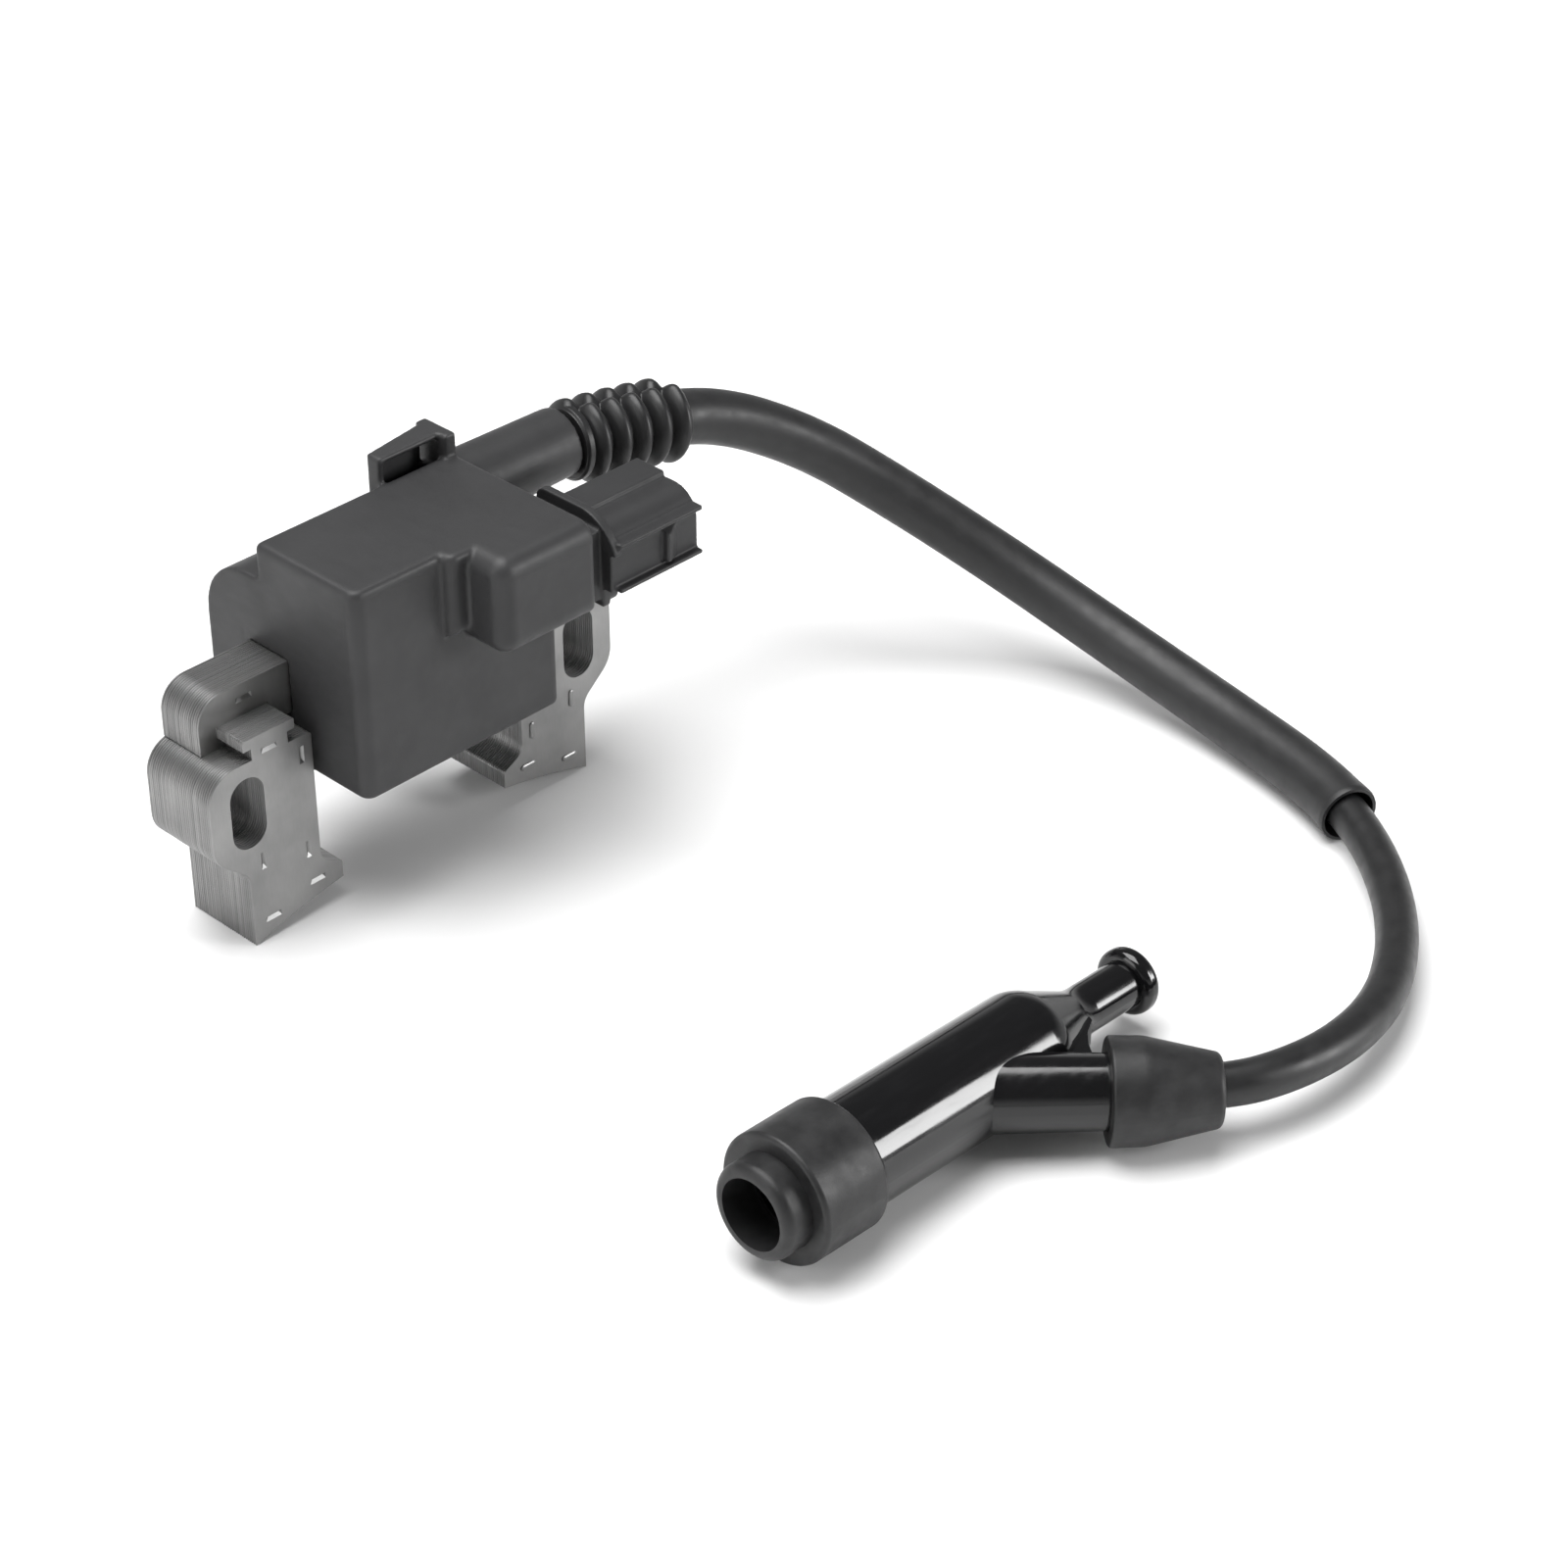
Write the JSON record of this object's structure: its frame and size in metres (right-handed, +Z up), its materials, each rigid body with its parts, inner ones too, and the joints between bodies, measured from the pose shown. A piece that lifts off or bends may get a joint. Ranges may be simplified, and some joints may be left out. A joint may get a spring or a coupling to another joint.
{
  "type": "ignition coil",
  "caption": "Two-legged laminated-core ignition coil with a dark moulded case, side wiring socket, and a sleeved lead ending in a Y-shaped plug cap.",
  "frame": {"origin": "centre of the base of the coil (core, case and connector), at the height of the pole faces' outer edges; lead, boot and plug cap are not counted", "axes": "+X along the core bar towards the lead tower and wiring socket, +Y towards the case's potted back, +Z up from the pole faces to the case's top"},
  "size_m": [0.1688, 0.178, 0.0681],
  "materials": {
    "lamination_steel": "satin, cut edges of sheet",
    "case_plastic": "matte, fine moulded grain",
    "connector_plastic": "matte",
    "potting_resin": "smooth cast resin",
    "bobbin_plastic": "matte",
    "copper": "enamelled copper",
    "board": "satin",
    "component_black": "matte",
    "brass": "bright",
    "boot_rubber": "matte",
    "sleeve_rubber": "satin",
    "lead_rubber": "satin",
    "cap_plastic": "polished",
    "seal_rubber": "matte",
    "steel": "plain",
    "resistor_body": "matte"
  },
  "bodies": {
    "root": {"core_bar": "lamination_steel", "pole_leg_left": "lamination_steel", "pole_leg_right": "lamination_steel", "case": "case_plastic", "potting": "potting_resin", "primary_bobbin": "bobbin_plastic", "primary_winding": "copper", "secondary_bobbin": "bobbin_plastic", "secondary_winding": "copper", "igniter_board": "board", "power_transistor": "component_black", "control_chip": "component_black", "capacitor": "component_black", "ground_strap": "brass", "high_voltage_terminal": "brass", "connector_terminals": "brass", "connector_shell": "connector_plastic", "ribbed_boot": "boot_rubber", "lead_sleeve": "sleeve_rubber", "ht_lead": "lead_rubber", "lead_conductor": "copper", "cap_body": "cap_plastic", "plug_seal": "seal_rubber", "lead_seal": "seal_rubber", "lead_screw": "steel", "suppression_resistor": "resistor_body", "contact_spring": "steel", "plug_terminal_clip": "brass"}
  },
  "joints": []
}
